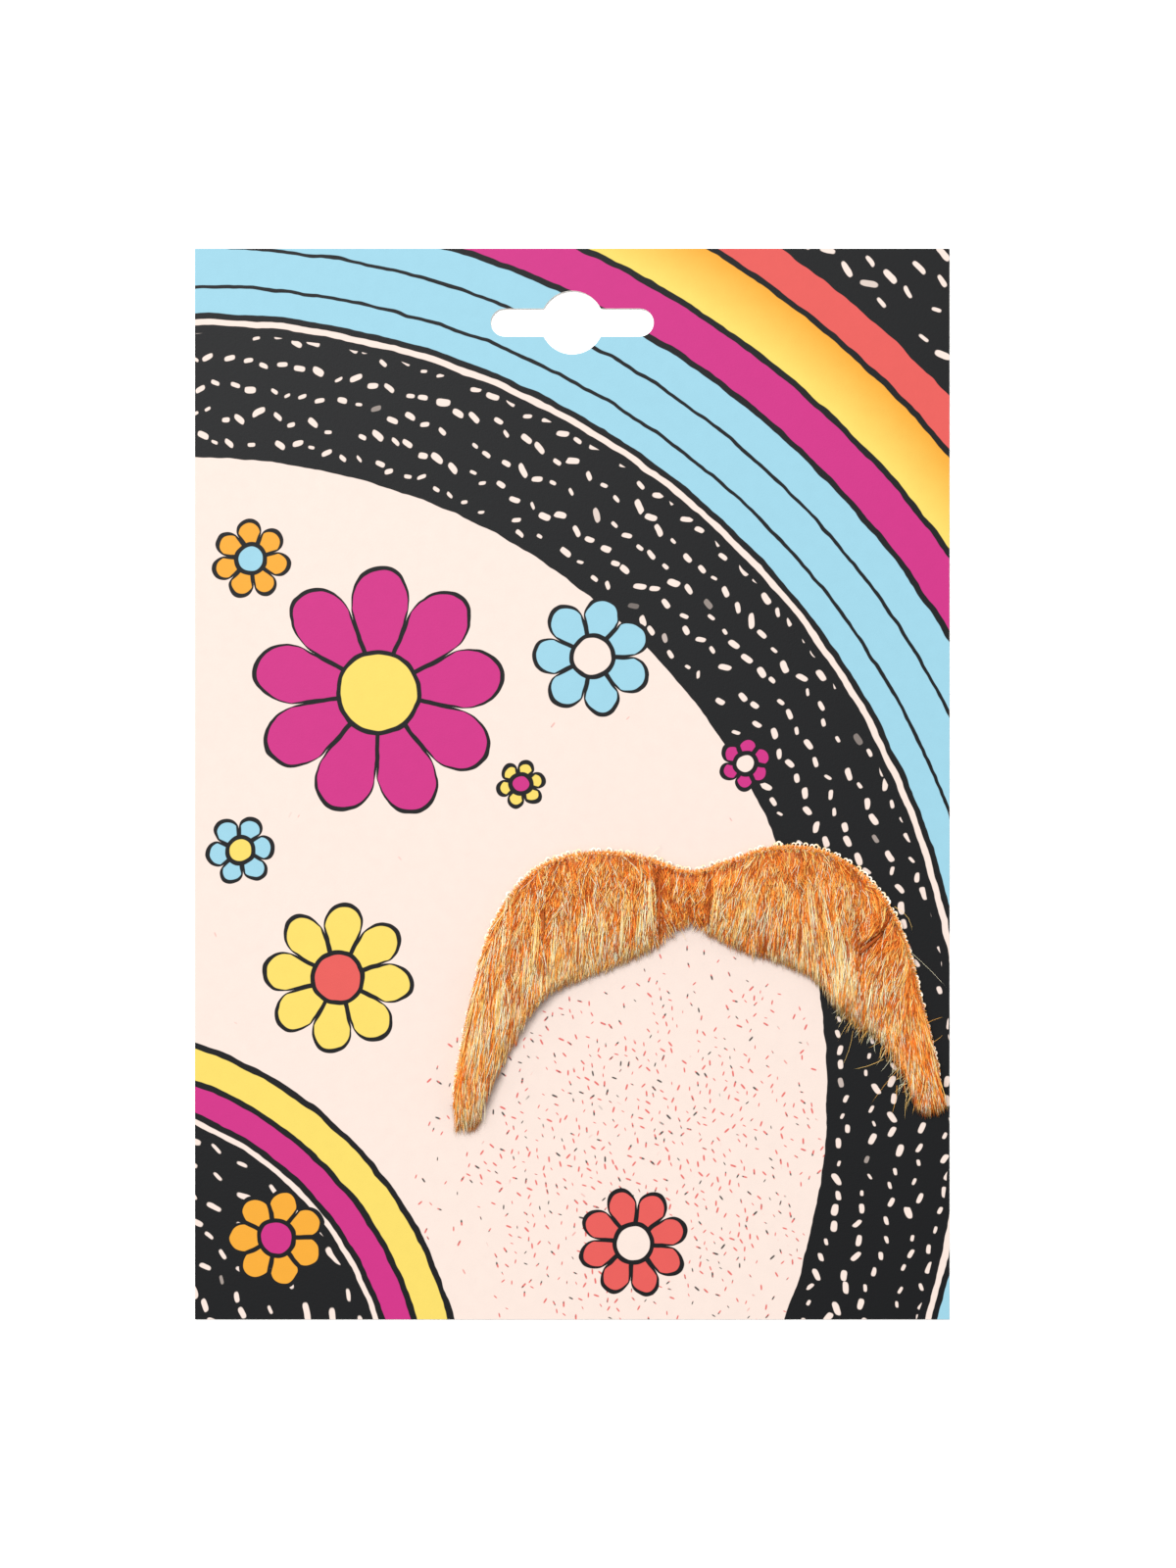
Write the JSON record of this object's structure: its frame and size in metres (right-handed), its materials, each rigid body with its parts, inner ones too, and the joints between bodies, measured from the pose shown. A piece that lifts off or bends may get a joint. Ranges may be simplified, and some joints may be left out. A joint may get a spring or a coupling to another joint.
{
  "type": "fake moustache on a display card",
  "caption": "Stick-on fake moustache of long ginger pile with two drooping arms, stuck to an upright hanging display card with a hook slot.",
  "frame": {"origin": "middle of the card's back, on the surface that the card lies on", "axes": "+X across the card to the right as the front is seen, +Y up the card towards the hanging slot, +Z out of its front"},
  "size_m": [0.148, 0.21, 0.0072],
  "materials": {
    "display_card": "satin",
    "adhesive_pad": "tacky",
    "backing_cloth": "knitted",
    "fur_pile": "combed fur"
  },
  "bodies": {
    "root": {"display_card": "display_card", "adhesive_pad": "adhesive_pad", "backing_cloth": "backing_cloth", "fur_pile": "fur_pile"}
  },
  "joints": []
}
